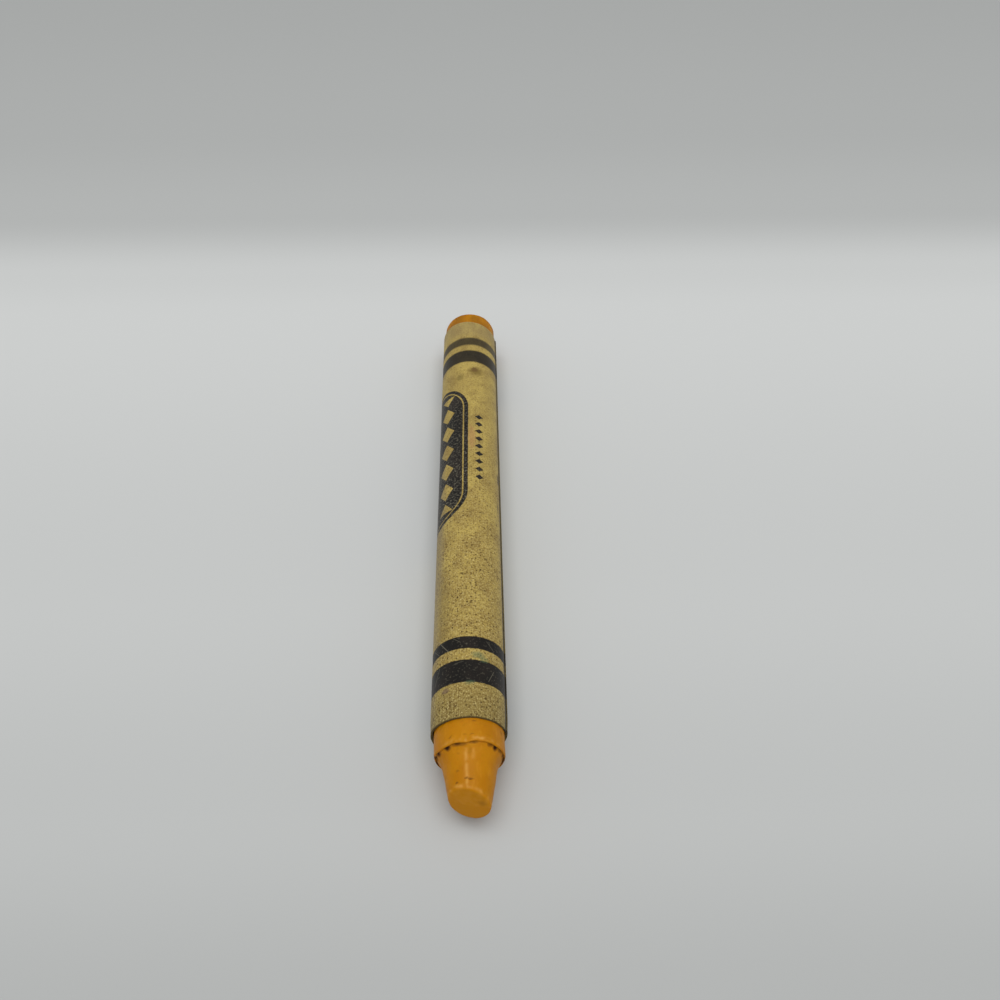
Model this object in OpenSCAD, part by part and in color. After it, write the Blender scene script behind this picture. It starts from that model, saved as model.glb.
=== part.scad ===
// Wax crayon: a moulded wax stick in a wound paper wrapper, lying on its side.
// The stick runs along Y with its worn tip toward -Y. The surface it lies on is z = 0.
// Angles round the axis are counted from the crest of the lying crayon, toward +X.

/* [Wax barrel] */
// Diameter of the barrel at its flat end
barrel_d = 7.68; // [7.3:0.02:9]
// Mould draft: how much narrower the barrel is at the shoulder
barrel_draft = 0.14; // [0:0.02:0.3]
// Length of the barrel, from the flat end to the shoulder
barrel_len = 78.1; // [76:0.1:110]
// Radius of the rounded rim of the flat end
butt_round = 0.35; // [0.1:0.05:0.8]

/* [Shoulder] */
// Radius of the rounded lip that ends the barrel
lip_round = 0.16; // [0.08:0.02:0.2]
// Width of the groove inside the lip
groove_w = 0.22; // [0.1:0.02:0.24]
// Depth of the groove below the end of the barrel
groove_depth = 0.28; // [0.1:0.02:0.5]
// Radius of the hollow that runs from the groove into the cone
hollow_r = 3.5; // [1:0.1:5]

/* [Cone] */
// Diameter of the cone where its side would meet the end of the barrel
cone_d = 6.1; // [4.5:0.05:6.2]
// Diameter of the nose, as moulded
nose_d = 3.1; // [2:0.05:3.6]
// Length of the cone, as moulded
cone_len = 8.8; // [8:0.1:12]

/* [Worn tip] */
// Distance from the barrel to the middle of the worn face
wear_at = 5.2; // [4:0.1:6.5]
// Tilt of the worn face, in degrees from square to the axis
wear_tilt = 14.8; // [0:0.2:25]
// Side that the worn face looks to, in degrees round the axis
wear_turn = -60; // [-180:1:180]
// Radius of the slight dome of the worn face
wear_dome_r = 12; // [8:0.5:40]

/* [Paper wrapper] */
// Length of the wrapper
wrapper_len = 72.6; // [50:0.1:73]
// Bare wax between the flat end and the wrapper
butt_bare = 2.8; // [0.5:0.1:3]
// Thickness of the paper
paper_t = 0.1; // [0.06:0.01:0.2]
// Whole turns that the sheet makes round the barrel
paper_turns = 2; // [1:1:4]
// Glue space between the barrel and the paper
glue_gap = 0.02; // [0.01:0.01:0.1]
// Place of the lap seam, in degrees round the axis
seam_at = 80; // [10:1:170]

/* [Hidden] */
$fn = 96;
arc_steps = 8;

butt_r = barrel_d / 2;
shoulder_r = butt_r - barrel_draft / 2;
lip_r = shoulder_r - lip_round;
ring_r = lip_r - groove_w;

cone_slope = (cone_d - nose_d) / 2 / cone_len;
cone_angle = atan(cone_slope);
nose_z = barrel_len + cone_len;
// The hollow is a circle that touches the cone's side and passes through the groove's inner edge.
hollow_offset = (ring_r - cone_d / 2) * cos(cone_angle);
hollow_sweep = acos(1 - hollow_offset / hollow_r);
hollow_reach = hollow_r * sin(hollow_sweep);
hollow_end_z = barrel_len + hollow_offset * sin(cone_angle) + hollow_reach * cos(cone_angle);

worn_r = cone_radius(barrel_len + wear_at);
stick_len = barrel_len + wear_at + worn_r * tan(wear_tilt) - worn_r * worn_r / 2 / wear_dome_r;
cutter_r = butt_r;
cutter_drop = wear_dome_r - sqrt(wear_dome_r * wear_dome_r - cutter_r * cutter_r);

// One turn of the sheet climbs by its own thickness, half of it in each half turn.
bore_r = butt_r + glue_gap;
low_r = bore_r + paper_turns * paper_t;
centre_shift = paper_t / 4;
first_half_r = low_r + paper_t - centre_shift;
second_half_r = low_r + centre_shift;
rest_height = first_half_r - centre_shift * cos(seam_at);

function cone_radius(z) = cone_d / 2 - cone_slope * (z - barrel_len);

function arc(centre, r, from, to) = [
    for (i = [0 : arc_steps])
        let (a = from + (to - from) * i / arc_steps)
        centre + r * [cos(a), sin(a)]
];

// Lays a part built along +Z, flat end at 0 and crest toward +Y, down on its side.
module lying() {
    translate([0, stick_len / 2, rest_height])
        rotate([90, 0, 0])
            children();
}

// Turns a feature built at the crest to its place round the axis.
module round_axis(angle) {
    rotate([0, 0, -angle])
        children();
}

// Half outline of the stick as it left the mould, with x as the radius.
module stick_outline() {
    hollow_centre = [
        cone_radius(hollow_end_z) + hollow_r * cos(cone_angle),
        hollow_end_z + hollow_r * sin(cone_angle)
    ];
    polygon(concat(
        [[0, 0]],
        arc([butt_r - butt_round, butt_round], butt_round, -90, 0),
        arc([lip_r, barrel_len - lip_round], lip_round, 0, 90),
        [[lip_r - groove_w / 2, barrel_len - groove_depth]],
        arc(hollow_centre, hollow_r, 180 + cone_angle + hollow_sweep, 180 + cone_angle),
        [[nose_d / 2, nose_z], [0, nose_z]]
    ));
}

// Wax that drawing has rubbed off: all that lies beyond a tilted and slightly domed face.
module rubbed_off() {
    translate([0, 0, barrel_len + wear_at])
        round_axis(wear_turn)
            rotate([-wear_tilt, 0, 0])
                difference() {
                    translate([0, 0, -cutter_drop])
                        cylinder(h = cutter_drop + cone_len, r = cutter_r);
                    translate([0, 0, -wear_dome_r])
                        sphere(r = wear_dome_r);
                }
}

module wax_stick() {
    color("#d9932b")
        lying()
            difference() {
                rotate_extrude()
                    stick_outline();
                rubbed_off();
            }
}

// The half of a wound sheet on the +X side, with the seam at the crest.
module half_turn(r, shift) {
    intersection() {
        translate([0, shift])
            circle(r = r);
        translate([0, -2 * r])
            square([2 * r, 4 * r]);
    }
}

// Section of the wound sheet. It is thickest just past the seam, where its outer end lies.
module wound_section() {
    difference() {
        round_axis(seam_at)
            union() {
                half_turn(first_half_r, centre_shift);
                mirror([1, 0])
                    half_turn(second_half_r, -centre_shift);
            }
        circle(r = bore_r);
    }
}

module paper_wrapper() {
    color("#a8955a")
        lying()
            translate([0, 0, butt_bare])
                linear_extrude(wrapper_len)
                    wound_section();
}

wax_stick();
paper_wrapper();
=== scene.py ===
import math

import bpy
import numpy as np
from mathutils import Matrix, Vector, noise


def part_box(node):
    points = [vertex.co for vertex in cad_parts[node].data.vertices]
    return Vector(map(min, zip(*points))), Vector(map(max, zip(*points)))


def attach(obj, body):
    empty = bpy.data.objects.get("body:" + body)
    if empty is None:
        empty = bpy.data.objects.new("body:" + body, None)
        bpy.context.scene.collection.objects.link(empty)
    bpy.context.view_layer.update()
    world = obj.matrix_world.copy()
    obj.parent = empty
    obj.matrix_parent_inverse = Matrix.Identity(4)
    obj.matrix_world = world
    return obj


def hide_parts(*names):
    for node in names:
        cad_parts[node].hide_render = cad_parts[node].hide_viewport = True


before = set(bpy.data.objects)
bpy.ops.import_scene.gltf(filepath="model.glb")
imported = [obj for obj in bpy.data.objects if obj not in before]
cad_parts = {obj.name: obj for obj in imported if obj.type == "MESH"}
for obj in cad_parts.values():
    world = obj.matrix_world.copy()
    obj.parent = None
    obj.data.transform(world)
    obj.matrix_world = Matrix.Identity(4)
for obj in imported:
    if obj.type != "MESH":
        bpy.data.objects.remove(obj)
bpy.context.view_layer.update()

mm = 0.001  # one millimetre in Blender's metres
waxLow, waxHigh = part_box("wax_stick")
paperLow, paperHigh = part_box("paper_wrapper")
axisHeight = (waxLow[2] + waxHigh[2]) / 2 / mm
flatEnd = waxHigh[1] / mm
frontEdge = paperLow[1] / mm
wrapperLength = (paperHigh[1] - paperLow[1]) / mm
print("frame: axis %.2f mm up, wrapper %.1f mm long" % (axisHeight, wrapperLength))

# settings that many nodes share
plus, minus, times, timesPlus, toPower = (
    {"operation": name} for name in ("ADD", "SUBTRACT", "MULTIPLY", "MULTIPLY_ADD", "POWER")
)
sine, cosine, absolute, highest, zigzag = (
    {"operation": name} for name in ("SINE", "COSINE", "ABSOLUTE", "MAXIMUM", "PINGPONG")
)
scaled, length, along = ({"operation": name} for name in ("SCALE", "LENGTH", "DOT_PRODUCT"))
clampedMinus = {"operation": "SUBTRACT", "use_clamp": True}
smooth = {"interpolation_type": "SMOOTHSTEP"}
colorMix = {"data_type": "RGBA"}


def linearColor(hexCode):
    levels = [int(hexCode[i : i + 2], 16) / 255 for i in (1, 3, 5)]
    return [c / 12.92 if c <= 0.04045 else ((c + 0.055) / 1.055) ** 2.4 for c in levels] + [1.0]


def addNode(tree, kind, settings, links):
    # a link is a socket, a node (its first output in use) or a plain value
    node = tree.nodes.new(kind)
    for name, value in settings.items():
        setattr(node, name, value)
    for name, value in links.items():
        socket = node.inputs[name]
        if isinstance(name, str):
            socket = next(s for s in node.inputs if s.name == name and s.enabled)
        if isinstance(value, bpy.types.Node):
            value = next(output for output in value.outputs if output.enabled)
        if isinstance(value, bpy.types.NodeSocket):
            tree.links.new(value, socket)
        else:
            socket.default_value = value
    return node


def newMaterial(name):
    material = bpy.data.materials.new(name)
    material.use_nodes = True
    material.node_tree.nodes.clear()
    return material, material.node_tree


def newObject(name, data):
    item = bpy.data.objects.new(name, data)
    bpy.context.collection.objects.link(item)
    return item


def fadeIn(tree, color, value, gone, full, share, tone):
    # lays a tone over a colour, up to its share as the value goes from gone to full
    mask = addNode(tree, "ShaderNodeMapRange", smooth, {
        "Value": value, "From Min": gone, "From Max": full, "To Max": share,
    })
    return addNode(tree, "ShaderNodeMix", colorMix, {
        "Factor": mask, "A": color, "B": linearColor(tone),
    })


def layTones(tree, place, color, layers, strength=1.0):
    # lays one noise after another over a colour, for a place given in millimetres
    masks = {}
    for name, (lump, stretch, octaves, start, end, share, tone) in layers.items():
        spread = addNode(tree, "ShaderNodeVectorMath", times, {0: place, 1: stretch})
        # a pale and a dark lump to each cell of the noise
        grain = addNode(tree, "ShaderNodeTexNoise", {}, {
            "Vector": spread, "Scale": 1 / (2 * lump), "Detail": octaves, "Roughness": 0.6,
        })
        most = addNode(tree, "ShaderNodeMath", times, {0: strength, 1: share})
        masks[name] = addNode(tree, "ShaderNodeMapRange", smooth, {
            "Value": grain, "From Min": start, "From Max": end, "To Max": most,
        })
        color = addNode(tree, "ShaderNodeMix", colorMix, {
            "Factor": masks[name], "A": color, "B": linearColor(tone),
        })
    return color, masks


# Places on the sheet are degrees round the crayon from its crest, toward +X, and millimetres
# back from the front edge.
wrapperPaper = {
    "faceRadius": 4.11,  # of the outer turn, on which angles turn to millimetres
    "pulp": "#ae9651",
    "tones": {
        # lump in mm, stretch, octaves, noise from, noise to, share, tone
        "clouds": (2.0, (1.0, 0.7, 1.0), 3.0, 0.42, 0.64, 0.8, "#c4ac5c"),
        "shade": (1.1, (1.0, 0.7, 1.0), 3.0, 0.48, 0.66, 0.55, "#8c743f"),
    },
    "grain": {
        # the same, drawn a few times as coarse as real pulp fibres, which wouldn't show
        "mottle": (0.35, (1.0, 0.8, 1.0), 3.0, 0.48, 0.68, 0.3, "#7d6736"),
        "granules": (0.12, (1.0, 0.85, 1.0), 3.0, 0.43, 0.66, 0.55, "#705829"),
        "flecks": (0.13, (1.0, 0.85, 1.0), 3.0, 0.51, 0.7, 0.4, "#d9c889"),
    },
    "specks": [
        # spacing and radius in mm of pale grains and then of bark specks, share, tone
        (0.24, 0.07, 0.55, "#d6c383"),
        (0.27, 0.08, 0.75, "#5e451b"),
        (0.55, 0.12, 0.8, "#463211"),
    ],
    "grainFade": (8.0, 62.0, 0.4),  # mm back from and to, strength left
    "patches": (2.4, 0.38, 0.64, 0.85, 1.2),  # mm, noise from, noise to, least and most strength
    "tipGrime": (8.5, 0.5, "#6d603a"),  # mm back, share, tone
    "edgeDirt": (0.11, 0.8, "#43381a"),
    # dirt along the lap, and painted shade where the lifted lap shades the turn beneath
    "lapDirtAndShade": (0.4, 0.75, "#2e2817"),  # mm to both sides of the lap's edge, share, tone
    "stainsAndSheen": [
        # under the ink: angle, mm back, half width, half length, share, tone
        (13.7, 59.8, 1.2, 1.0, 0.8, "#78642f"),
        (0.0, 70.9, 7.0, 2.3, 0.45, "#93805a"),
        (11.5, 60.1, 0.55, 0.6, 0.6, "#64462a"),
        (-18.7, 58.4, 0.6, 0.75, 0.6, "#7c6c36"),
        (5.5, 44.6, 0.6, 2.6, 0.5, "#ae7f54"),
        (30.5, 22.4, 0.3, 0.1, 0.8, "#33280f"),
        (-11.0, 19.8, 0.3, 0.1, 0.8, "#33280f"),
        (24.0, 30.2, 0.4, 0.25, 0.4, "#5a4a22"),
        # painted sheen: a long greyed strip down the left side of the wrapper
        (-68.0, 26.0, 1.5, 24.0, 0.4, "#857a66"),
        (-45.0, 15.0, 1.1, 6.0, 0.35, "#7c6a3c"),
    ],
    "smears": [
        # over the ink
        (16.0, 7.8, 0.8, 0.5, 0.5, "#4f6c54"),
        (26.0, 7.3, 0.6, 0.4, 0.42, "#5a7350"),
        (3.0, 4.1, 0.6, 0.3, 0.4, "#4f6a4e"),
        (-37.0, 3.5, 0.6, 0.35, 0.55, "#5b4048"),
        (71.0, 38.8, 0.35, 1.1, 0.7, "#3d3122"),
        (66.0, 33.0, 0.3, 0.9, 0.5, "#3d3122"),
    ],
}
wrapperPrint = {
    "bands": [
        # mm back from and to, share of ink, softness of the edge in mm
        (4.15, 7.1, 1.0, 0.05),
        (8.62, 10.3, 1.0, 0.05),
        (62.05, 64.95, 0.95, 0.2),
        (66.4, 68.3, 0.85, 0.25),
    ],
    "panelAngles": (-178.0, -1.6),
    "panelEnds": (28.9, 56.6),
    "panelCorner": 5.2,
    "panelLine": (0.5, 0.68),  # from the panel's edge
    "lozengePitch": 3.9,
    "lozengeHalf": (1.25, 1.6),  # across and lengthwise
    "lozengeRow": 3.05,  # of the panel's two rows, from its middle
    "lozengesReach": 11.7,
    "marksAngle": 20.0,
    "marksEnds": (36.0, 49.9),
    "marksPitch": 1.55,
    "marksHalf": (0.6, 0.48),
    "bleed": 0.15,  # mm that the ink runs
    "blur": 0.05,  # mm that its edge is soft
    "inkTones": ("#13100d", "#261f1a"),
    "rubbing": {
        # noise from, noise to, share rubbed off
        "bands": (0.54, 0.74, 0.3),
        "panel": (0.47, 0.67, 0.75),
        "marks": (0.5, 0.7, 0.5),
    },
    "rubbedTone": "#7f7a68",
    "scratches": [
        # angle and mm back of both ends, half width, share
        ((-55.0, 10.8), (-31.0, 8.5), 0.04, 0.6),
        ((-66.0, 9.9), (-52.0, 8.8), 0.03, 0.4),
        ((-24.0, 10.2), (-12.0, 9.5), 0.03, 0.35),
        ((30.0, 9.9), (42.0, 9.0), 0.03, 0.4),
        ((-62.0, 5.0), (-50.0, 6.8), 0.035, 0.45),
        ((-20.0, 6.7), (-7.0, 6.9), 0.03, 0.3),
        ((33.0, 4.6), (43.0, 6.1), 0.035, 0.45),
    ],
}


def onSheet(angle, back):
    return (math.radians(angle) * wrapperPaper["faceRadius"], back, 0.0)


def edgeMask(tree, distance, edge, blur=wrapperPrint["blur"]):
    # one inside the edge, fading to nothing over the width of the ink's blur
    return addNode(tree, "ShaderNodeMapRange", smooth, {
        "Value": distance, "From Min": edge + blur, "From Max": edge - blur,
    })


def laySpecks(tree, flat, strength, color):
    # one speck to a cell, each of its own darkness, pulled out of round by up to the pull
    pull = (0.22, 0.22, 0.0)
    warp = addNode(tree, "ShaderNodeTexNoise", {}, {"Vector": flat, "Scale": 3.0, "Detail": 2.0})
    shifted = addNode(tree, "ShaderNodeVectorMath", timesPlus, {
        0: warp.outputs["Color"], 1: pull, 2: flat,
    })
    for spacing, radius, share, tone in wrapperPaper["specks"]:
        cells = addNode(tree, "ShaderNodeTexVoronoi", {"voronoi_dimensions": "2D"}, {
            "Vector": shifted, "Scale": 1 / spacing,
        }).outputs
        edge = radius / spacing
        dot = addNode(tree, "ShaderNodeMapRange", smooth, {
            "Value": cells["Distance"], "From Min": 1.35 * edge, "From Max": 0.5 * edge,
            "To Max": share,
        })
        chance = addNode(tree, "ShaderNodeSeparateColor", {}, {0: cells["Color"]}).outputs["Red"]
        darkness = addNode(tree, "ShaderNodeMapRange", smooth, {
            "Value": chance, "From Min": 0.2, "From Max": 0.9,
        })
        speck = addNode(tree, "ShaderNodeMath", times, {0: dot, 1: darkness})
        kept = addNode(tree, "ShaderNodeMath", times, {0: speck, 1: strength})
        color = addNode(tree, "ShaderNodeMix", colorMix, {
            "Factor": kept, "A": color, "B": linearColor(tone),
        })
    return color


def layStainsAndSheen(tree, flat, ragged, color, stainsAndSheen):
    # soft spots with ragged edges, full and gone at these reaches in half sizes plus the noise
    raggedness, full, gone = 1.3, 1.1, 1.95
    for angle, back, halfWidth, halfLength, share, tone in stainsAndSheen:
        offset = addNode(tree, "ShaderNodeVectorMath", minus, {0: flat, 1: onSheet(angle, back)})
        stretch = (1 / halfWidth, 1 / halfLength, 0.0)
        fitted = addNode(tree, "ShaderNodeVectorMath", times, {0: offset, 1: stretch})
        reach = addNode(tree, "ShaderNodeVectorMath", length, {0: fitted})
        uneven = addNode(tree, "ShaderNodeMath", timesPlus, {0: ragged, 1: raggedness, 2: reach})
        color = fadeIn(tree, color, uneven, gone, full, share, tone)
    return color


def scratchMask(tree, flat, start, end, halfWidth):
    # from the distance to the straight line between two places on the sheet
    start, end = Vector(onSheet(*start)), Vector(onSheet(*end))
    run = end - start
    offset = addNode(tree, "ShaderNodeVectorMath", minus, {0: flat, 1: start})
    share = addNode(tree, "ShaderNodeVectorMath", along, {0: offset, 1: run / run.length_squared})
    kept = addNode(tree, "ShaderNodeClamp", {}, {"Value": share.outputs["Value"]})
    foot = addNode(tree, "ShaderNodeVectorMath", scaled, {0: run, "Scale": kept})
    across = addNode(tree, "ShaderNodeVectorMath", minus, {0: offset, 1: foot})
    distance = addNode(tree, "ShaderNodeVectorMath", length, {0: across})
    return addNode(tree, "ShaderNodeMapRange", smooth, {
        "Value": distance, "From Min": 1.6 * halfWidth, "From Max": 0.6 * halfWidth,
    })


def lozengeMask(tree, across, back, bleed, row, pitch, half):
    # lozenges at every pitch, in a row that lies at the given distance across
    wrapped = addNode(tree, "ShaderNodeMath", zigzag, {0: back, 1: pitch / 2})
    offset = addNode(tree, "ShaderNodeMath", minus, {0: across, 1: row})
    sideways = addNode(tree, "ShaderNodeMath", absolute, {0: offset})
    reach = addNode(tree, "ShaderNodeMath", timesPlus, {0: sideways, 1: half[1] / half[0], 2: wrapped})
    uneven = addNode(tree, "ShaderNodeMath", timesPlus, {0: bleed, 1: wrapperPrint["bleed"], 2: reach})
    return edgeMask(tree, uneven, half[1] + wrapperPrint["bleed"] / 2)


def bandMasks(tree, back, bleed):
    bands = 0.0
    for start, end, share, blur in wrapperPrint["bands"]:
        offset = addNode(tree, "ShaderNodeMath", minus, {0: back, 1: (start + end) / 2})
        distance = addNode(tree, "ShaderNodeMath", absolute, {0: offset})
        uneven = addNode(tree, "ShaderNodeMath", timesPlus, {
            0: bleed, 1: wrapperPrint["bleed"], 2: distance,
        })
        band = edgeMask(tree, uneven, (end - start + wrapperPrint["bleed"]) / 2, blur)
        inked = addNode(tree, "ShaderNodeMath", times, {0: band, 1: share})
        bands = addNode(tree, "ShaderNodeMath", highest, {0: bands, 1: inked})
    return bands


def panelMask(tree, flat, bleed):
    # a round-cornered panel with a fine bare line inside its edge and two rows of bare lozenges
    left, right = [onSheet(angle, 0)[0] for angle in wrapperPrint["panelAngles"]]
    front, back = wrapperPrint["panelEnds"]
    corner = wrapperPrint["panelCorner"]
    middle = ((left + right) / 2, (front + back) / 2, 0.0)
    core = ((right - left) / 2 - corner, (back - front) / 2 - corner, 0.0)
    offset = addNode(tree, "ShaderNodeVectorMath", minus, {0: flat, 1: middle})
    mirrored = addNode(tree, "ShaderNodeVectorMath", absolute, {0: offset})
    past = addNode(tree, "ShaderNodeVectorMath", minus, {0: mirrored, 1: core})
    outside = addNode(tree, "ShaderNodeVectorMath", highest, {0: past, 1: (0.0, 0.0, 0.0)})
    reach = addNode(tree, "ShaderNodeVectorMath", length, {0: outside})
    edge = addNode(tree, "ShaderNodeMath", timesPlus, {0: bleed, 1: wrapperPrint["bleed"], 2: reach})
    panel = edgeMask(tree, edge, corner + wrapperPrint["bleed"] / 2)
    lineFrom, lineTo = wrapperPrint["panelLine"]
    toLine = addNode(tree, "ShaderNodeMath", minus, {0: edge, 1: corner - (lineFrom + lineTo) / 2})
    fromLine = addNode(tree, "ShaderNodeMath", absolute, {0: toLine})
    line = edgeMask(tree, fromLine, (lineTo - lineFrom) / 2)
    halves = addNode(tree, "ShaderNodeSeparateXYZ", {}, {0: mirrored}).outputs
    lozenges = lozengeMask(
        tree, halves["X"], halves["Y"], bleed,
        wrapperPrint["lozengeRow"], wrapperPrint["lozengePitch"], wrapperPrint["lozengeHalf"],
    )
    inRow = edgeMask(tree, halves["Y"], wrapperPrint["lozengesReach"])
    rows = addNode(tree, "ShaderNodeMath", times, {0: lozenges, 1: inRow})
    bare = addNode(tree, "ShaderNodeMath", highest, {0: line, 1: rows})
    return addNode(tree, "ShaderNodeMath", clampedMinus, {0: panel, 1: bare})


def marksMask(tree, flat, bleed):
    front, back = wrapperPrint["marksEnds"]
    middle = onSheet(wrapperPrint["marksAngle"], (front + back) / 2)
    offset = addNode(tree, "ShaderNodeVectorMath", minus, {0: flat, 1: middle})
    parts = addNode(tree, "ShaderNodeSeparateXYZ", {}, {0: offset}).outputs
    distance = addNode(tree, "ShaderNodeMath", absolute, {0: parts["Y"]})
    pitch, half = wrapperPrint["marksPitch"], wrapperPrint["marksHalf"]
    marks = lozengeMask(tree, parts["X"], distance, bleed, 0.0, pitch, half)
    inRow = edgeMask(tree, distance, (back - front) / 2)
    return addNode(tree, "ShaderNodeMath", times, {0: marks, 1: inRow})


def grainStrength(tree, flat, back):
    # the grain stands out most near the tip, where handling has rubbed dirt into it
    near, far, left = wrapperPaper["grainFade"]
    faded = addNode(tree, "ShaderNodeMapRange", smooth, {
        "Value": back, "From Min": far, "From Max": near, "To Min": left,
    })
    patch, start, end, least, most = wrapperPaper["patches"]
    patchNoise = addNode(tree, "ShaderNodeTexNoise", {}, {
        "Vector": flat, "Scale": 1 / patch, "Detail": 3.0,
    })
    patchy = addNode(tree, "ShaderNodeMapRange", smooth, {
        "Value": patchNoise, "From Min": start, "From Max": end, "To Min": least, "To Max": most,
    })
    return addNode(tree, "ShaderNodeMath", times, {0: faded, 1: patchy})


def layInk(tree, flat, back, strength, clouds, paper):
    # rubbed grey in flecks, most of all on the panel, and scratched through on the near bands
    bleed = addNode(tree, "ShaderNodeTexNoise", {}, {"Vector": flat, "Scale": 4.0, "Detail": 2.0})
    rubNoise = addNode(tree, "ShaderNodeTexNoise", {}, {"Vector": flat, "Scale": 3.4, "Detail": 3.0})
    prints = {
        "bands": bandMasks(tree, back, bleed),
        "panel": panelMask(tree, flat, bleed),
        "marks": marksMask(tree, flat, bleed),
    }
    ink, rubbed = 0.0, 0.0
    for name, (start, end, share) in wrapperPrint["rubbing"].items():
        most = addNode(tree, "ShaderNodeMath", times, {0: strength, 1: share})
        flecks = addNode(tree, "ShaderNodeMapRange", smooth, {
            "Value": rubNoise, "From Min": start, "From Max": end, "To Max": most,
        })
        fleckedInk = addNode(tree, "ShaderNodeMath", times, {0: prints[name], 1: flecks})
        rubbed = addNode(tree, "ShaderNodeMath", highest, {0: rubbed, 1: fleckedInk})
        ink = addNode(tree, "ShaderNodeMath", highest, {0: ink, 1: prints[name]})
    for start, end, halfWidth, share in wrapperPrint["scratches"]:
        scratch = scratchMask(tree, flat, start, end, halfWidth)
        scraped = addNode(tree, "ShaderNodeMath", times, {0: scratch, 1: share})
        rubbed = addNode(tree, "ShaderNodeMath", highest, {0: rubbed, 1: scraped})

    darkInk, paleInk = [linearColor(tone) for tone in wrapperPrint["inkTones"]]
    inkTone = addNode(tree, "ShaderNodeMix", colorMix, {"Factor": clouds, "A": darkInk, "B": paleInk})
    surface = addNode(tree, "ShaderNodeMix", colorMix, {"Factor": ink, "A": paper, "B": inkTone})
    surface = addNode(tree, "ShaderNodeMix", colorMix, {
        "Factor": rubbed, "A": surface, "B": linearColor(wrapperPrint["rubbedTone"]),
    })
    return surface, ink


def layDirtAndLapShade(tree, across, back, ragged, surface):
    # on the cut front edge, where the noise moves it by about its reach
    reach, share, tone = wrapperPaper["edgeDirt"]
    uneven = addNode(tree, "ShaderNodeMath", timesPlus, {0: ragged, 1: 3 * reach, 2: back})
    surface = fadeIn(tree, surface, uneven, 3.2 * reach, 1.4 * reach, share, tone)
    # and in a wavy, soft-edged line along the lap: dirt, and painted shade where the lifted lap shades
    # the turn beneath it
    waviness, softness = 0.4, 0.3
    reach, share, tone = wrapperPaper["lapDirtAndShade"]
    full = reach + waviness / 5
    lapEdge, halfTurn = [onSheet(angle, 0)[0] for angle in (wrapperSheet["Seam Angle"], 180)]
    pastLap = addNode(tree, "ShaderNodeMath", minus, {0: across, 1: lapEdge})
    besideLap = addNode(tree, "ShaderNodeMath", zigzag, {0: pastLap, 1: halfTurn})
    wavy = addNode(tree, "ShaderNodeMath", timesPlus, {0: ragged, 1: waviness, 2: besideLap})
    return fadeIn(tree, surface, wavy, full + softness, full, share, tone)


def makeKraftPaper():
    # Uncoated brown wrapper paper, flexo printed: dull and grainy with dark bark specks, pale and
    # fuzzy where it is seen edge on, with greyish ink that is rubbed through in places.
    material, tree = newMaterial("uncoatedKraftPaper")
    flat = addNode(tree, "ShaderNodeAttribute", {"attribute_name": "sheetPlace"}, {}).outputs["Vector"]
    parts = addNode(tree, "ShaderNodeSeparateXYZ", {}, {0: flat}).outputs
    across, back = parts["X"], parts["Y"]
    ragged = addNode(tree, "ShaderNodeTexNoise", {}, {
        "Vector": flat, "Scale": 2.2, "Detail": 4.0, "Roughness": 0.65,
    })

    paper, tones = layTones(tree, flat, linearColor(wrapperPaper["pulp"]), wrapperPaper["tones"])
    reach, share, tone = wrapperPaper["tipGrime"]
    paper = fadeIn(tree, paper, back, reach, 0.0, share, tone)
    strength = grainStrength(tree, flat, back)
    paper, grain = layTones(tree, flat, paper, wrapperPaper["grain"], strength)
    paper = laySpecks(tree, flat, strength, paper)
    paper = layStainsAndSheen(tree, flat, ragged, paper, wrapperPaper["stainsAndSheen"])
    surface, ink = layInk(tree, flat, back, strength, tones["clouds"], paper)
    surface = layStainsAndSheen(tree, flat, ragged, surface, wrapperPaper["smears"])
    surface = layDirtAndLapShade(tree, across, back, ragged, surface)

    bump = addNode(tree, "ShaderNodeBump", {}, {
        "Strength": 0.15, "Distance": 0.015 * mm, "Height": grain["flecks"],
    })
    # the ink is a little smoother than bare paper
    roughness = addNode(tree, "ShaderNodeMapRange", {}, {"Value": ink, "To Min": 0.9, "To Max": 0.7})
    shader = addNode(tree, "ShaderNodeBsdfPrincipled", {}, {
        "Base Color": surface,
        "Roughness": roughness,
        "IOR": 1.5,
        "Specular IOR Level": 0.2,
        "Sheen Weight": 0.14,
        "Sheen Roughness": 0.4,
        "Normal": bump,
    })
    addNode(tree, "ShaderNodeOutputMaterial", {}, {"Surface": shader})
    return material


# one sheet wound on the spiral that a sheet must follow, in millimetres and degrees
wrapperSheet = {
    "Turns": 2.0,
    "Bore Radius": 3.86,
    "Pitch": 0.1,
    "Thickness": 0.097,  # a little under the pitch, so that the turns stay apart
    "Seam Angle": 80.0,
    "Front Edge": frontEdge,
    "Length": wrapperLength,
    "Axis Height": axisHeight,
    "Unevenness": 0.03,
    "Lap Lift": 0.06,
    "Lap Reach": 0.09,  # in turns
    "Lift Length": 30.0,
    "Edge Fray": 0.22,
    "Edge Creep": 0.2,
    "Front Reach": 1.8,
    "Front Press": -0.05,
    "Front Slant": 0.06,
    "Back Reach": 4.0,
    "Back Slant": -0.4,
    "Seed": 4.0,
    "Columns": 262,
    "Rows": 150,
}


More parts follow.
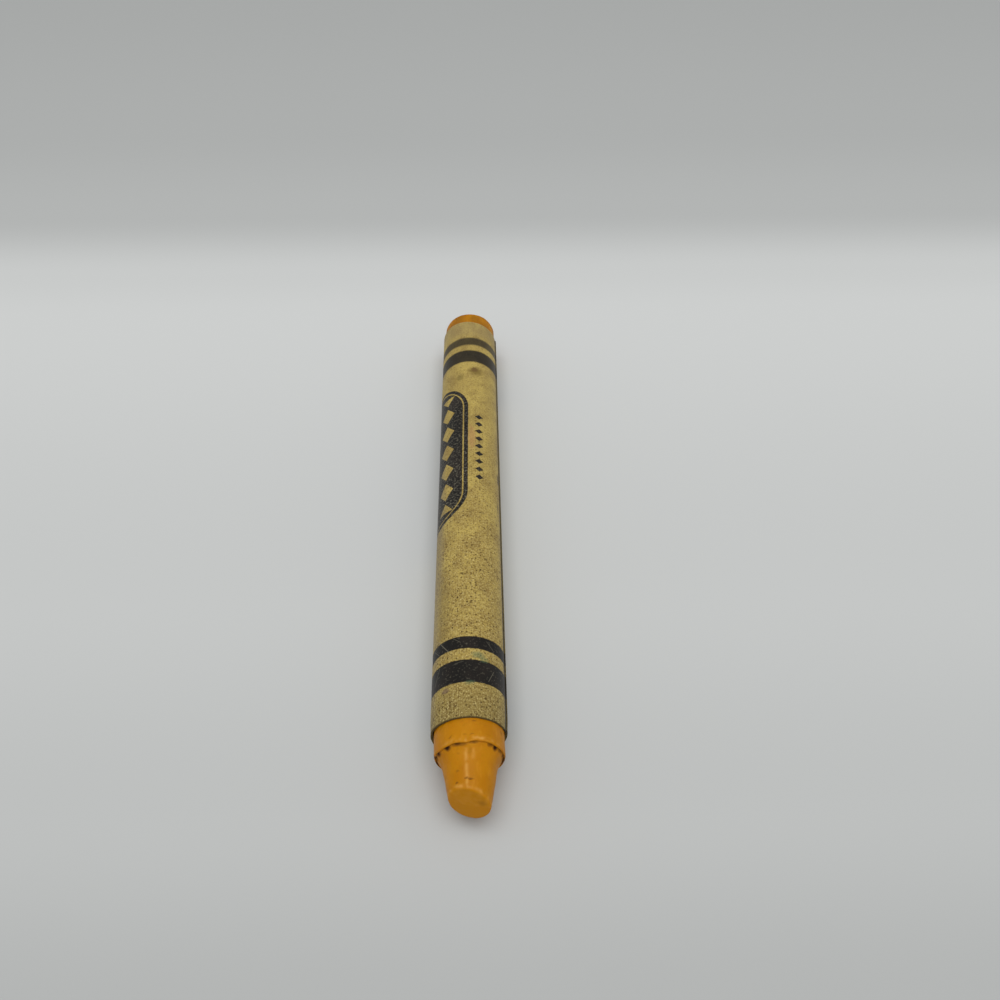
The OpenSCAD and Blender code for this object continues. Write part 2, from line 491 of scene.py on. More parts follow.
def makeWindingTree(material):
    tree = bpy.data.node_groups.new("woundSheet", "GeometryNodeTree")
    for way in ("INPUT", "OUTPUT"):
        tree.interface.new_socket("Geometry", in_out=way, socket_type="NodeSocketGeometry")
    identifiers = {}
    for name, value in wrapperSheet.items():
        kind = "NodeSocketInt" if isinstance(value, int) else "NodeSocketFloat"
        socket = tree.interface.new_socket(name, in_out="INPUT", socket_type=kind)
        identifiers[name] = socket.identifier
    given = addNode(tree, "NodeGroupInput", {}, {}).outputs

    # a flat grid of one by one: X runs round the winding, Y back from the front edge
    grid = addNode(tree, "GeometryNodeMeshGrid", {}, {
        "Size X": 1.0, "Size Y": 1.0, "Vertices X": given["Columns"], "Vertices Y": given["Rows"],
    })
    flat = addNode(tree, "GeometryNodeInputPosition", {}, {})
    share = addNode(tree, "ShaderNodeSeparateXYZ", {}, {0: flat}).outputs
    # the outer turn gets most of the columns, and the two ends get closer rows
    shareRound = addNode(tree, "ShaderNodeMath", plus, {0: share["X"], 1: 0.5})
    wound = addNode(tree, "ShaderNodeMath", toPower, {0: shareRound, 1: 0.6})
    shareBack = addNode(tree, "ShaderNodeMath", plus, {0: share["Y"], 1: 0.5})
    turned = addNode(tree, "ShaderNodeMath", times, {0: shareBack, 1: math.tau})
    wave = addNode(tree, "ShaderNodeMath", sine, {0: turned})
    eased = addNode(tree, "ShaderNodeMath", timesPlus, {0: wave, 1: -0.7 / math.tau, 2: shareBack})
    back = addNode(tree, "ShaderNodeMath", times, {0: eased, 1: given["Length"]})

    # the spiral: the angle falls and the radius grows from the inner end to the free edge
    shareLeft = addNode(tree, "ShaderNodeMath", minus, {0: 1.0, 1: wound})
    turnsLeft = addNode(tree, "ShaderNodeMath", times, {0: shareLeft, 1: given["Turns"]})
    seam = addNode(tree, "ShaderNodeMath", {"operation": "RADIANS"}, {0: given["Seam Angle"]})
    angle = addNode(tree, "ShaderNodeMath", timesPlus, {0: turnsLeft, 1: math.tau, 2: seam})
    turnsWound = addNode(tree, "ShaderNodeMath", times, {0: wound, 1: given["Turns"]})
    spiral = addNode(tree, "ShaderNodeMath", timesPlus, {
        0: turnsWound, 1: given["Pitch"], 2: given["Bore Radius"],
    })
    side = addNode(tree, "ShaderNodeMath", sine, {0: angle})
    top = addNode(tree, "ShaderNodeMath", cosine, {0: angle})

    # both turns bulge together, and not where the crayon rests
    ring = addNode(tree, "ShaderNodeCombineXYZ", {}, {"X": side, "Z": top})
    ringPlace = addNode(tree, "ShaderNodeVectorMath", scaled, {0: ring, "Scale": given["Bore Radius"]})
    backPlace = addNode(tree, "ShaderNodeCombineXYZ", {}, {"Y": back})
    around = addNode(tree, "ShaderNodeVectorMath", plus, {0: ringPlace, 1: backPlace})
    seeded = {"noise_dimensions": "4D"}
    bulgeNoise = addNode(tree, "ShaderNodeTexNoise", seeded, {
        "Vector": around, "W": given["Seed"], "Scale": 0.16, "Detail": 2.0,
    })
    offRest = addNode(tree, "ShaderNodeMapRange", smooth, {
        "Value": top, "From Min": -1.0, "From Max": -0.8, "To Max": given["Unevenness"],
    })
    bulge = addNode(tree, "ShaderNodeMath", timesPlus, {0: bulgeNoise, 1: offRest, 2: spiral})

    # the lap stands off a little at its free edge, most of all at the front corner
    nearLap = addNode(tree, "ShaderNodeMapRange", smooth, {
        "Value": turnsLeft, "From Min": given["Lap Reach"], "From Max": 0.0,
        "To Max": given["Lap Lift"],
    })
    nearFront = addNode(tree, "ShaderNodeMapRange", smooth, {
        "Value": back, "From Min": given["Lift Length"], "From Max": 0.0, "To Min": 0.15,
    })
    lifted = addNode(tree, "ShaderNodeMath", timesPlus, {0: nearLap, 1: nearFront, 2: bulge})

    # the front edge is pressed down on the wax
    atFront = addNode(tree, "ShaderNodeMapRange", smooth, {
        "Value": back, "From Min": given["Front Reach"], "From Max": 0.0,
    })
    radius = addNode(tree, "ShaderNodeMath", timesPlus, {
        0: atFront, 1: given["Front Press"], 2: lifted,
    })

    # the ends are not cut quite true, and the front one has frayed and crept forward at the crest
    rippleNoise = addNode(tree, "ShaderNodeTexNoise", seeded, {
        "Vector": around, "W": given["Seed"], "Scale": 0.8, "Detail": 4.0, "Roughness": 0.7,
    })
    ripple = addNode(tree, "ShaderNodeMath", minus, {0: rippleNoise, 1: 0.47})
    frayed = addNode(tree, "ShaderNodeMath", times, {0: ripple, 1: given["Edge Fray"]})
    atCrest = addNode(tree, "ShaderNodeMapRange", smooth, {
        "Value": top, "From Min": 0.0, "From Max": 0.9, "To Min": -0.4,
    })
    creep = addNode(tree, "ShaderNodeMath", times, {0: atCrest, 1: given["Edge Creep"]})
    crept = addNode(tree, "ShaderNodeMath", minus, {0: frayed, 1: creep})
    leftBehind = addNode(tree, "ShaderNodeMath", minus, {0: given["Length"], 1: back})
    atBack = addNode(tree, "ShaderNodeMapRange", smooth, {
        "Value": leftBehind, "From Min": given["Back Reach"], "From Max": 0.0,
    })
    reached = back
    ends = [(crept, given["Front Slant"], atFront), (frayed, given["Back Slant"], atBack)]
    for moved, slant, atEnd in ends:
        skewed = addNode(tree, "ShaderNodeMath", timesPlus, {0: side, 1: slant, 2: moved})
        reached = addNode(tree, "ShaderNodeMath", timesPlus, {0: skewed, 1: atEnd, 2: reached})

    acrossPlace = addNode(tree, "ShaderNodeMath", times, {0: side, 1: radius})
    alongPlace = addNode(tree, "ShaderNodeMath", plus, {0: reached, 1: given["Front Edge"]})
    upPlace = addNode(tree, "ShaderNodeMath", timesPlus, {0: top, 1: radius, 2: given["Axis Height"]})
    place = addNode(tree, "ShaderNodeCombineXYZ", {}, {
        "X": acrossPlace, "Y": alongPlace, "Z": upPlace,
    })
    placed = addNode(tree, "ShaderNodeVectorMath", scaled, {0: place, "Scale": mm})

    # each point keeps its place on the flat sheet in mm, for the print and the pulp
    outerAngle = addNode(tree, "ShaderNodeMath", minus, {0: angle, 1: math.tau})
    printed = addNode(tree, "ShaderNodeMath", times, {0: outerAngle, 1: wrapperPaper["faceRadius"]})
    sheetPlace = addNode(tree, "ShaderNodeCombineXYZ", {}, {"X": printed, "Y": back})
    named = addNode(tree, "GeometryNodeStoreNamedAttribute", {"data_type": "FLOAT_VECTOR"}, {
        "Geometry": grid, "Name": "sheetPlace", "Value": sheetPlace,
    })
    bent = addNode(tree, "GeometryNodeSetPosition", {}, {"Geometry": named, "Position": placed})
    outward = addNode(tree, "GeometryNodeFlipFaces", {}, {"Mesh": bent})
    offset = addNode(tree, "ShaderNodeMath", times, {0: given["Thickness"], 1: mm})
    thick = addNode(tree, "GeometryNodeExtrudeMesh", {"mode": "FACES"}, {
        "Mesh": outward, "Offset Scale": offset, "Individual": False,
    })
    joined = addNode(tree, "GeometryNodeJoinGeometry", {}, {"Geometry": bent})
    tree.links.new(thick.outputs["Mesh"], joined.inputs["Geometry"])
    merged = addNode(tree, "GeometryNodeMergeByDistance", {}, {
        "Geometry": joined, "Distance": 0.001 * mm,
    })
    rounded = addNode(tree, "GeometryNodeSetShadeSmooth", {}, {"Geometry": merged})
    sharpRim = addNode(tree, "GeometryNodeSetShadeSmooth", {}, {
        "Geometry": rounded, "Selection": thick.outputs["Side"], "Shade Smooth": False,
    })
    realized = addNode(tree, "GeometryNodeRealizeInstances", {}, {"Geometry": sharpRim})
    dressed = addNode(tree, "GeometryNodeSetMaterial", {}, {
        "Geometry": realized, "Material": material,
    })
    addNode(tree, "NodeGroupOutput", {}, {"Geometry": dressed})
    return tree, identifiers


def makePaperWrapper(material):
    tree, identifiers = makeWindingTree(material)
    base = newObject("sheetBase", bpy.data.meshes.new("sheetBase"))
    modifier = base.modifiers.new("winding", "NODES")
    modifier.node_group = tree
    for name, value in wrapperSheet.items():
        modifier[identifiers[name]] = value
    graph = bpy.context.evaluated_depsgraph_get()
    mesh = bpy.data.meshes.new_from_object(base.evaluated_get(graph), depsgraph=graph)
    mesh.name = "paperWrapper"
    bpy.data.objects.remove(base)
    return newObject("paperWrapper", mesh)


# All in millimetres and degrees. "Past" is the distance past the barrel's end toward the tip.
waxStickShape = {
    "buttRadius": 3.84,
    "shoulderRadius": 3.77,
    "buttRound": 0.35,
    "barrelLength": 78.1,
    "lipRound": 0.16,
    "grooveWidth": 0.15,
    "grooveDepth": 0.1,
    "hollowRadius": 3.5,
    "coneRadius": 3.1,
    "noseRadius": 1.55,
    "coneLength": 8.8,
    "wearAt": 5.38,
    "wearTilt": 16.2,
    "wearTurn": -52.0,
    "domeRadius": 20.0,
    "rimSoft": 0.14,
    "tipShift": (0.2, 0.09),  # the tip was pressed a little to the side and up
    "shiftFrom": -6.0,
    "shiftTo": 4.0,
    "coneStart": 3.2,  # past, from where rays make the rings of the tip
    "coneStep": 0.08,
    "meridians": 288,
    "lumps": [
        # size, height and seed of the coarse, the fine and the finest unevenness
        (1.7, 0.03, 2),
        (0.45, 0.014, 1),
        (0.17, 0.006, 3),
    ],
    "mouldLineSize": (0.19, 0.012),  # half width, height
    "mouldLines": [
        # angle, share, past from and to
        (-7.0, 1.0, 0.3, 4.9),
        (8.0, 0.5, 0.5, 1.9),
        (177.0, 0.8, 0.3, 4.0),
    ],
    "lipWander": [
        # angle and how far the lip has been pushed toward the tip
        (-180, 0.0), (-120, -0.05), (-90, -0.05), (-72, 0.15), (-55, 0.34), (-35, 0.28), (-25, 0.2),
        (-16, 0.28), (-4, 0.4), (4, 0.2), (12, 0.08), (20, 0.08), (30, 0.02), (40, 0.02), (52, 0.1),
        (70, 0.06), (90, -0.08), (130, -0.05), (180, 0.0),
    ],
    "grooveDirt": [
        # angle, half width in degrees, half length, share
        (-84, 7, 0.2, 0.66), (-68, 8, 0.26, 0.92), (-40, 6, 0.32, 1.0), (-18, 15, 0.24, 0.62),
        (8, 9, 0.18, 0.56), (40, 6, 0.2, 0.66), (50, 6, 0.32, 1.0), (66, 9, 0.18, 0.6),
        (84, 7, 0.2, 0.64), (110, 14, 0.14, 0.5), (150, 20, 0.14, 0.4), (-130, 18, 0.14, 0.5),
    ],
    "marks": [
        # angle, past, half width, half length, dirt, dent
        (-35.0, 4.0, 0.2, 0.1, 0.62, 0.02),
        (-28.0, 2.88, 0.26, 0.16, 0.34, 0.01),
        (-9.0, 3.64, 0.24, 0.1, 0.5, 0.05),
        (2.0, 3.74, 0.32, 0.11, 0.6, 0.06),
        (-8.0, -0.72, 0.35, 0.1, 0.28, 0.0),
        (4.0, -0.7, 0.4, 0.09, 0.32, 0.01),
        (-31.0, -0.7, 0.3, 0.14, 0.34, 0.01),
        (33.0, -0.75, 0.35, 0.08, 0.26, 0.01),
        (10.0, -2.15, 0.3, 0.13, 0.42, 0.0),
        (64.0, -1.9, 0.35, 0.3, 0.3, 0.0),
        (-22.0, 1.1, 0.3, 0.2, 0.22, 0.0),
        (95.0, 2.0, 0.3, 0.2, 0.4, 0.03),
        (-120.0, 1.5, 0.4, 0.12, 0.4, 0.04),
        (160.0, 3.0, 0.25, 0.3, 0.4, 0.03),
        (-88.0, 0.0, 0.5, 0.3, 0.7, 0.0),
        (-106.0, -0.1, 0.7, 0.35, 0.75, 0.0),
        (100.0, -0.05, 0.9, 0.35, 0.75, 0.0),
    ],
    "faceMark": (1.2, 0.6, 0.6, 0.27),  # across, up, half width, share of the worn face's dark spot
    "flatEndDirt": 0.22,
    # the lip's pale band is scuffed wax and a painted highlight along its rounded edge
    "lipScuffAndHighlight": (-0.27, 0.17, 5.0, 45.0),  # past, half length, angle, degrees to its end
    # the rim's pale band is pressed wax and a painted highlight on its upper half
    "rimScuffAndHighlight": (0.22, 0.17, 0.6),  # mm from the worn face, half width, share
}


def coneAt(past):
    w = waxStickShape
    return w["coneRadius"] - (w["coneRadius"] - w["noseRadius"]) / w["coneLength"] * past


def arcPoints(centre, radius, start, end, count):
    angles = np.radians(np.linspace(start, end, count))
    return [(centre[0] + radius * math.cos(a), centre[1] + radius * math.sin(a)) for a in angles]


def stickProfile():
    # past and radius of each ring, from the middle of the flat end to the start of the tip
    w = waxStickShape
    butt = -w["barrelLength"]
    lipRadius = w["shoulderRadius"] - w["lipRound"]
    ringRadius = lipRadius - w["grooveWidth"]
    slope = math.atan((w["coneRadius"] - w["noseRadius"]) / w["coneLength"])
    # the hollow runs from the groove's inner edge until it touches the cone
    offset = (ringRadius - w["coneRadius"]) * math.cos(slope)
    sweep = math.acos(1 - offset / w["hollowRadius"])
    touch = offset * math.sin(slope) + w["hollowRadius"] * math.sin(sweep) * math.cos(slope)
    hollowCentre = (
        touch + w["hollowRadius"] * math.sin(slope),
        coneAt(touch) + w["hollowRadius"] * math.cos(slope),
    )
    rim = (butt + w["buttRound"], w["buttRadius"] - w["buttRound"])
    points = [(butt, radius) for radius in np.linspace(0.3, rim[1] - 0.02, 12)]
    points += arcPoints(rim, w["buttRound"], 180, 90, 7)
    # rings at these distances from the flat end, closest where the wax is bare
    stations = np.concatenate([
        np.linspace(0.6, 4.2, 16),
        np.linspace(9.0, 69.0, 11),
        np.linspace(74.4, w["barrelLength"] - w["lipRound"] - 0.02, 46),
    ])
    taper = (w["shoulderRadius"] - w["buttRadius"]) / w["barrelLength"]
    points += [(butt + at, w["buttRadius"] + taper * at) for at in stations]
    points += arcPoints((-w["lipRound"], lipRadius), w["lipRound"], 90, 0, 7)
    bottom = (-w["grooveDepth"], lipRadius - w["grooveWidth"] / 2)
    hollowTo = -90 - math.degrees(slope)
    hollowFrom = hollowTo - math.degrees(sweep)
    hollow = arcPoints(hollowCentre, w["hollowRadius"], hollowFrom, hollowTo, 14)
    for lowFrom, lowTo in (((0.0, lipRadius), bottom), (bottom, hollow[0])):
        points += [
            (lowFrom[0] + (lowTo[0] - lowFrom[0]) * step, lowFrom[1] + (lowTo[1] - lowFrom[1]) * step)
            for step in (0.35, 0.7, 1.0)
        ]
    points += hollow[1:]
    step = w["coneStep"]
    points += [(past, coneAt(past)) for past in np.arange(hollow[-1][0] + step, w["coneStart"], step)]
    points.append((w["coneStart"], coneAt(w["coneStart"])))
    return points


def wornFace():
    # the way the worn face looks and the middle of its dome, as across, past, up
    w = waxStickShape
    tilt, turn = math.radians(w["wearTilt"]), math.radians(w["wearTurn"])
    lean = math.sin(tilt)
    facing = np.array([lean * math.sin(turn), math.cos(tilt), lean * math.cos(turn)])
    return facing, np.array([0.0, w["wearAt"], 0.0]) - facing * w["domeRadius"]


def tipReach(directions):
    # distance along each direction from the start of the tip to the cone or the worn face
    w = waxStickShape
    domeCentre = wornFace()[1]
    soft = w["rimSoft"]
    low, high = np.zeros(len(directions)), np.full(len(directions), 6.0)
    # halving the span 40 times leaves no error that a float could show
    for _ in range(40):
        middle = (low + high) / 2
        point = directions * middle[:, None]
        point[:, 1] += w["coneStart"]
        side = np.hypot(point[:, 0], point[:, 2]) - coneAt(point[:, 1])
        face = np.linalg.norm(point - domeCentre, axis=1) - w["domeRadius"]
        near = np.clip(1 - np.abs(side - face) / soft, 0, None)
        outside = np.maximum(side, face) + near**2 * soft / 4 > 0
        high = np.where(outside, middle, high)
        low = np.where(outside, low, middle)
    return (low + high) / 2


def stickRings():
    w = waxStickShape
    count = w["meridians"]
    around = np.linspace(0, math.tau, count, endpoint=False) - math.pi
    rings = [
        np.stack([radius * np.sin(around), np.full(count, past), radius * np.cos(around)], 1)
        for past, radius in stickProfile()
    ]
    # the tip's rings lie on rays, closest where the side turns into the worn face
    shares = np.linspace(0, 1, 60)[1:-1]
    for lean in np.radians(90 * (1 - shares) + 9 * np.sin(math.tau * shares)):
        directions = np.stack([
            math.sin(lean) * np.sin(around),
            np.full(count, math.cos(lean)),
            math.sin(lean) * np.cos(around),
        ], 1)
        ring = directions * tipReach(directions)[:, None]
        ring[:, 1] += w["coneStart"]
        rings.append(ring)
    return rings


def lumps(points, lump, seed):
    shift = Vector((seed * 7.3, seed * 3.1, seed * 5.7))
    return np.array([noise.noise(Vector(p) / lump + shift) for p in points])


def bell(value, half):
    return np.exp(-((value / half) ** 2))


def weatherStick(points):
    # moves the moulded surface by its unevenness and wear, and returns dirt, scuffs with painted
    # highlights, and wear
    w = waxStickShape
    angle = np.degrees(np.arctan2(points[:, 0], points[:, 2]))
    past = points[:, 1].copy()
    radius = np.hypot(points[:, 0], points[:, 2])
    facing, domeCentre = wornFace()
    faceGap = w["domeRadius"] - np.linalg.norm(points - domeCentre, axis=1)
    onTip = past > 1
    worn = np.clip(1 - faceGap / 0.12, 0, 1) * onTip
    lipRadius = w["shoulderRadius"] - w["lipRound"]
    coarse, fine, finest = [lumps(points, size, seed) for size, _, seed in w["lumps"]]

    def turnTo(mark):
        return (angle - mark + 180) % 360 - 180

    dirt = w["flatEndDirt"] * (past < -70) * np.clip(1 + coarse, 0.4, 1.4)
    inGroove = (radius < lipRadius + 0.01) * np.clip(1 + 0.25 * fine, 0, 1.2)
    for mark, halfWidth, halfLength, share in w["grooveDirt"]:
        packed = bell(turnTo(mark) + 2 * fine, halfWidth) * bell(past - 0.04 - 0.05 * fine, halfLength)
        dirt = np.maximum(dirt, share * packed * inGroove)
    dent = np.zeros(len(points))
    for mark, at, halfWidth, halfLength, share, depth in w["marks"]:
        across = np.radians(turnTo(mark)) * radius
        spread = bell(across + 0.12 * coarse, halfWidth) * bell(past - at + 0.18 * fine, halfLength)
        dirt = np.maximum(dirt, share * spread)
        dent = np.maximum(dent, depth * spread)
    faceX, faceUp, faceHalf, faceShare = w["faceMark"]
    fromMark = np.hypot(points[:, 0] - faceX, points[:, 2] - faceUp) + 0.1 * fine
    dirt = np.maximum(dirt, faceShare * worn * bell(fromMark, faceHalf))

    # a pale band round the lip: scuffed wax, and a painted highlight along the top of its rounded edge
    at, halfLength, middle, reach = w["lipScuffAndHighlight"]
    scuffAndHighlight = bell(past - at, halfLength) * (radius > lipRadius - 0.06)
    scuffAndHighlight *= np.clip(0.7 + 1.3 * fine + 0.7 * coarse, 0, 1)
    scuffAndHighlight *= np.clip(1.3 - np.abs(angle - middle) / reach, 0.12, 0.85)
    ridge = np.zeros(len(points))
    lineHalf, lineHeight = w["mouldLineSize"]
    for mark, share, start, end in w["mouldLines"]:
        across = np.radians(turnTo(mark)) * radius + 0.1 * coarse
        ends = np.clip((past - start) / 0.3, 0, 1) * np.clip((end - past) / 0.3, 0, 1)
        line = bell(across, lineHalf) * ends * share
        # the mould lines are paler scraped wax, with a painted highlight along the ridge
        scuffAndHighlight = np.maximum(scuffAndHighlight, 0.55 * line * np.clip(0.75 + 1.2 * fine, 0, 1))
        ridge = np.maximum(ridge, line)
    # the upper half of the rim over the worn face is pressed bright where it last rubbed and carries a
    # painted highlight
    gap, halfWidth, share = w["rimScuffAndHighlight"]
    rim = bell(faceGap - gap, halfWidth) * onTip * np.clip(0.5 + 1.3 * fine, 0, 1)
    scuffAndHighlight = np.maximum(scuffAndHighlight, share * rim * (points[:, 2] > 0))

    # dirt lies in hollows
    push = lineHeight * ridge - dent - 0.02 * dirt
    for lump, (_, height, _) in zip((coarse, fine, finest), w["lumps"]):
        push += height * lump
    covered = (past > 4 - w["barrelLength"]) & (past < -4)
    push[covered] = 0.0
    outward = np.stack([points[:, 0], np.zeros(len(points)), points[:, 2]], 1)
    outward /= np.maximum(np.linalg.norm(outward, axis=1), 1e-6)[:, None]
    outward = outward * (1 - worn)[:, None] + facing * worn[:, None]
    outward[past < 0.02 - w["barrelLength"]] = (0, -1, 0)
    points = points + outward * push[:, None]
    points[:, 1] += (np.interp(angle, *zip(*w["lipWander"])) + 0.06 * coarse) * bell(past + 0.1, 0.7)
    share = np.clip((past - w["shiftFrom"]) / (w["shiftTo"] - w["shiftFrom"]), 0, 1)
    share = share**2 * (3 - 2 * share)
    points[:, 0] += w["tipShift"][0] * share
    points[:, 2] += w["tipShift"][1] * share
    return points, {"dirt": dirt, "scuffAndHighlight": scuffAndHighlight, "wornFace": worn}


def makeWaxStick(material):
    w = waxStickShape
    count = w["meridians"]
    rings = stickRings()
    points, tones = weatherStick(np.concatenate(rings))
    # across, past and up become the frame's X, Y and Z: the tip looks along -Y
    barrelEnd = flatEnd - w["barrelLength"]
    placed = np.stack([points[:, 0], barrelEnd - points[:, 1], axisHeight + points[:, 2]], 1)
    placed = np.concatenate([placed, [placed[:count].mean(0)], [placed[-count:].mean(0)]])
    buttMiddle, tipMiddle = len(points), len(points) + 1
    faces = []
    for j in range(count):
        k = (j + 1) % count
        for i in range(0, len(points) - count, count):
            faces.append((i + j, i + k, i + count + k, i + count + j))
        faces.append((buttMiddle, k, j))
        faces.append((tipMiddle, len(points) - count + j, len(points) - count + k))
    mesh = bpy.data.meshes.new("waxStick")
    mesh.from_pydata((placed * mm).tolist(), [], faces)
    mesh.materials.append(material)
    for name, values in tones.items():
        layer = mesh.attributes.new(name, "FLOAT", "POINT")
        ends = [values[:count].mean(), values[-count:].mean()]
        layer.data.foreach_set("value", np.concatenate([values, ends]).astype(np.float32))
    mesh.shade_smooth()
    return newObject("waxStick", mesh)


waxFinish = {
    "wax": "#b87603",
    "layers": {
        # lump in mm, stretch, octaves, noise from, noise to, share, tone
        "clouds": (1.6, (1.0, 1.0, 1.0), 3.0, 0.35, 0.65, 1.0, "#c28006"),
        "streaks": (0.35, (1.0, 0.3, 1.0), 2.0, 0.52, 0.75, 0.4, "#d08d1c"),
        "smudges": (0.8, (1.0, 1.0, 1.0), 4.0, 0.54, 0.75, 0.45, "#966004"),
    },
    "wornTone": "#be7d02",
    # paler wax of the scuffs, also used for the painted highlights
    "scuffAndHighlightTone": "#dda44e",
    "dirtTones": [
        # dirt from, dirt to, share, tone
        (0.08, 0.4, 0.7, "#84540f"),
        (0.4, 0.66, 0.8, "#552f0a"),
        (0.66, 0.9, 0.9, "#1f0f05"),
    ],
}


def makeMouldedWax():
    # Pigmented paraffin, moulded: soft satin sheen with light scattering just under the skin,
    # paler where it is scuffed and where highlights are painted on the lip, mould lines and rim,
    # and more even in tone on the face worn by drawing.
    material, tree = newMaterial("mouldedParaffinWax")
    position = addNode(tree, "ShaderNodeTexCoord", {}, {}).outputs["Object"]
    # in millimetres
    place = addNode(tree, "ShaderNodeVectorMath", scaled, {0: position, "Scale": 1 / mm})
    wax, masks = layTones(tree, place, linearColor(waxFinish["wax"]), waxFinish["layers"])
    marks = {}
    for name in ("dirt", "scuffAndHighlight", "wornFace"):
        marks[name] = addNode(tree, "ShaderNodeAttribute", {"attribute_name": name}, {}).outputs["Fac"]
    worn = addNode(tree, "ShaderNodeMath", times, {0: marks["wornFace"], 1: 0.9})
    wax = addNode(tree, "ShaderNodeMix", colorMix, {
        "Factor": worn, "A": wax, "B": linearColor(waxFinish["wornTone"]),
    })
    # paler for scuffs, and for painted highlights on the lip, the mould lines and the worn face's rim
    wax = addNode(tree, "ShaderNodeMix", colorMix, {
        "Factor": marks["scuffAndHighlight"], "A": wax, "B": linearColor(waxFinish["scuffAndHighlightTone"]),
    })
    for start, end, share, tone in waxFinish["dirtTones"]:
        wax = fadeIn(tree, wax, marks["dirt"], start, end, share, tone)

    pits = addNode(tree, "ShaderNodeTexNoise", {}, {"Vector": place, "Scale": 2.3, "Detail": 3.0})
    drawn = addNode(tree, "ShaderNodeVectorMath", times, {0: place, 1: (6.0, 0.5, 6.0)})
    scratches = addNode(tree, "ShaderNodeTexNoise", {}, {"Vector": drawn, "Scale": 1.0, "Detail": 2.0})
    relief = addNode(tree, "ShaderNodeMath", timesPlus, {0: scratches, 1: 0.6, 2: pits})
    bump = addNode(tree, "ShaderNodeBump", {}, {
        "Strength": 0.3, "Distance": 0.05 * mm, "Height": relief,
    })
    duller = addNode(tree, "ShaderNodeMath", timesPlus, {0: masks["smudges"], 1: 0.3, 2: 0.48})
    roughness = addNode(tree, "ShaderNodeMath", timesPlus, {0: marks["dirt"], 1: 0.3, 2: duller})
    shader = addNode(tree, "ShaderNodeBsdfPrincipled", {}, {
        "Base Color": wax,
        "Roughness": roughness,
        "IOR": 1.44,
        "Specular IOR Level": 0.16,
        "Subsurface Weight": 0.15,
        "Subsurface Radius": (1.0, 0.45, 0.1),
        "Subsurface Scale": 0.5 * mm,
        "Normal": bump,
    })
    addNode(tree, "ShaderNodeOutputMaterial", {}, {"Surface": shader})
    return material


kraftPaper = makeKraftPaper()
mouldedWax = makeMouldedWax()
print("materials: %s, %s" % (kraftPaper.name, mouldedWax.name))

paperWrapper = makePaperWrapper(kraftPaper)
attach(paperWrapper, "root")
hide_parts("paper_wrapper")
print("paper wrapper: %d faces" % len(paperWrapper.data.polygons))

waxStick = makeWaxStick(mouldedWax)
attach(waxStick, "root")
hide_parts("wax_stick")
print("wax stick: %d faces" % len(waxStick.data.polygons))

studio = {
    "floorSize": 4.0,
    "paintedFloorLight": [
        # metres along Y and tone of the board, painted light and shade
        (-0.06, "#b8bab9"), (-0.04, "#c3c5c4"), (-0.01, "#cbcdcc"), (0.055, "#d4d6d5"),
        (0.068, "#d0d2d1"), (0.09, "#babcbb"), (0.13, "#b4b6b5"), (0.22, "#b1b3b2"),
    ],
    "backdrop": "#b4b6b5",
    "skyToward": (0.0, -0.35, 0.937),
    "skyTones": (0.04, 0.62),  # strength away from that direction and toward it
    "lampPower": 5.6,
    "lampSize": 0.95,
    "lampPlace": (0.0, -0.16, 1.0),
    "lens": 35.1,
    "sensorWidth": 36.0,
    "cameraPlace": (2.18 * mm, -91.083 * mm, 94.627 * mm),
    "cameraTilt": 46.049,
    "cameraTurn": -1.168,
}


def makeFloor():
    # Matt painted board: no gloss, with a painted pool of light palest just behind the crayon and
    # painted shade darker to the front and back.
    material, tree = newMaterial("mattPaleBoard")
    place = addNode(tree, "ShaderNodeTexCoord", {}, {}).outputs["Object"]
    back = addNode(tree, "ShaderNodeSeparateXYZ", {}, {0: place}).outputs["Y"]
    tones = studio["paintedFloorLight"]
    near, far = tones[0][0], tones[-1][0]
    share = addNode(tree, "ShaderNodeMapRange", {}, {"Value": back, "From Min": near, "From Max": far})
    ramp = addNode(tree, "ShaderNodeValToRGB", {}, {"Fac": share})
    ramp.color_ramp.interpolation = "EASE"
    for at, tone in tones[1:-1]:
        ramp.color_ramp.elements.new((at - near) / (far - near)).color = linearColor(tone)
    ramp.color_ramp.elements[0].color = linearColor(tones[0][1])
    ramp.color_ramp.elements[-1].color = linearColor(tones[-1][1])
    shader = addNode(tree, "ShaderNodeBsdfPrincipled", {}, {
        "Base Color": ramp, "Roughness": 0.9, "Specular IOR Level": 0.1,
    })
    addNode(tree, "ShaderNodeOutputMaterial", {}, {"Surface": shader})
    half = studio["floorSize"] / 2
    mesh = bpy.data.meshes.new("floor")
    corners = [(-half, -half, 0), (half, -half, 0), (half, half, 0), (-half, half, 0)]
    mesh.from_pydata(corners, [], [(0, 1, 2, 3)])
    mesh.materials.append(material)
    floor = newObject("floor", mesh)


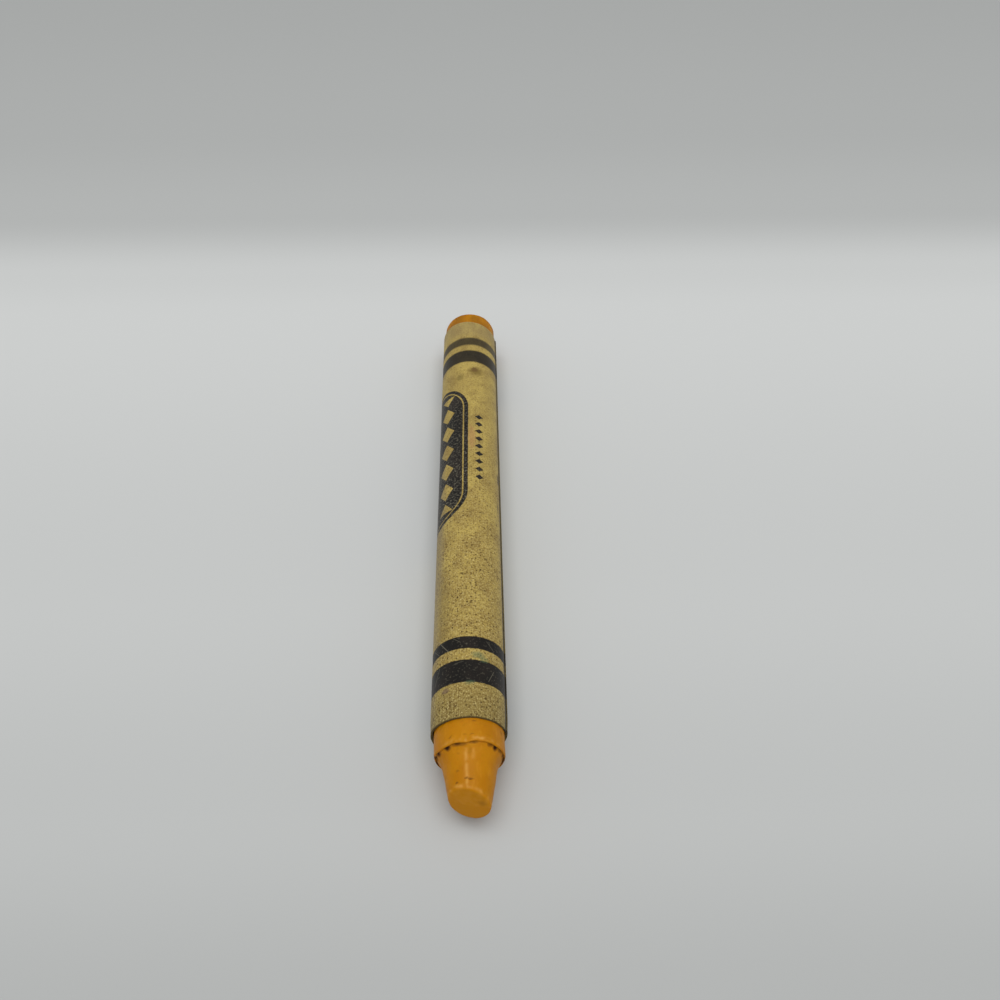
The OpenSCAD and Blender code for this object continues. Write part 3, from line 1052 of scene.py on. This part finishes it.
def makeWorld():
    # pale all round, brightest overhead and to the front, and a plain pale backdrop for the camera
    world = bpy.data.worlds.new("softRoom")
    bpy.context.scene.world = world
    world.use_nodes = True
    tree = world.node_tree
    tree.nodes.clear()
    direction = addNode(tree, "ShaderNodeTexCoord", {}, {}).outputs["Generated"]
    facing = addNode(tree, "ShaderNodeVectorMath", along, {0: direction, 1: studio["skyToward"]})
    away, toward = studio["skyTones"]
    strength = addNode(tree, "ShaderNodeMapRange", {}, {
        "Value": facing.outputs["Value"], "From Min": -1.0, "To Min": away, "To Max": toward,
    })
    light = addNode(tree, "ShaderNodeBackground", {}, {"Color": (1, 1, 1, 1), "Strength": strength})
    shown = addNode(tree, "ShaderNodeBackground", {}, {"Color": linearColor(studio["backdrop"])})
    ray = addNode(tree, "ShaderNodeLightPath", {}, {}).outputs
    seen = ray["Is Camera Ray"]
    for name in ("Is Glossy Ray", "Is Transmission Ray"):
        seen = addNode(tree, "ShaderNodeMath", highest, {0: seen, 1: ray[name]})
    mixed = addNode(tree, "ShaderNodeMixShader", {}, {0: seen, 1: light, 2: shown})
    addNode(tree, "ShaderNodeOutputWorld", {}, {"Surface": mixed})


def makeLamp():
    lamp = bpy.data.lights.new("softBox", "AREA")
    lamp.energy = studio["lampPower"]
    lamp.size = studio["lampSize"]
    holder = newObject("softBox", lamp)
    holder.location = studio["lampPlace"]
    holder.rotation_euler = Vector(studio["lampPlace"]).to_track_quat("Z", "Y").to_euler()


def makeCamera():
    lens = bpy.data.cameras.new("camera")
    lens.lens = studio["lens"]
    lens.sensor_width = studio["sensorWidth"]
    lens.clip_start = 0.005
    lens.clip_end = 20.0
    camera = newObject("camera", lens)
    camera.location = studio["cameraPlace"]
    tilt, turn = math.radians(studio["cameraTilt"]), math.radians(studio["cameraTurn"])
    camera.rotation_euler = (tilt, 0.0, turn)
    bpy.context.scene.camera = camera


makeFloor()
makeWorld()
makeLamp()
makeCamera()
bpy.context.scene.view_settings.view_transform = "Standard"
print("floor, light and camera are in place")
